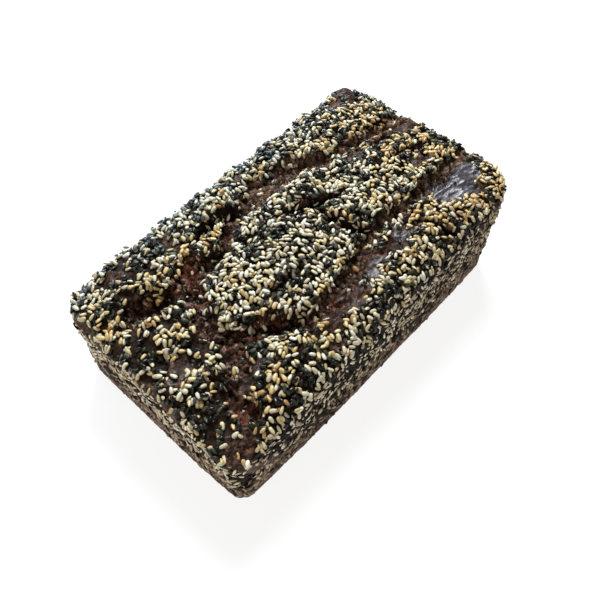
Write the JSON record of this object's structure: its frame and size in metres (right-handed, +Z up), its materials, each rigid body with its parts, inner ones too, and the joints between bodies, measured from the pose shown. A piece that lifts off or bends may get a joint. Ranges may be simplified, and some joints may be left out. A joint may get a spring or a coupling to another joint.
{
  "type": "rye bread loaf",
  "caption": "Dense dark rye loaf baked in a small tin, with a furrowed top and a crust covered in white, toasted and black sesame seeds.",
  "frame": {"origin": "middle of the loaf's footprint, on the flat face that it rests on", "axes": "+X along the loaf, +Y across it, +Z up"},
  "size_m": [0.1708, 0.0978, 0.053],
  "materials": {
    "crust": "dark brown rye crust, red-brown crumb in the furrows, half matt, glossy on the smooth patches",
    "white_sesame": "hulled sesame seed, cream to pale yellow, satin",
    "toasted_sesame": "toasted sesame seed, golden to orange-brown, satin",
    "black_sesame": "black sesame seed, blue-black, satin with grey highlights"
  },
  "bodies": {
    "root": {"loaf": "crust"}
  },
  "joints": []
}
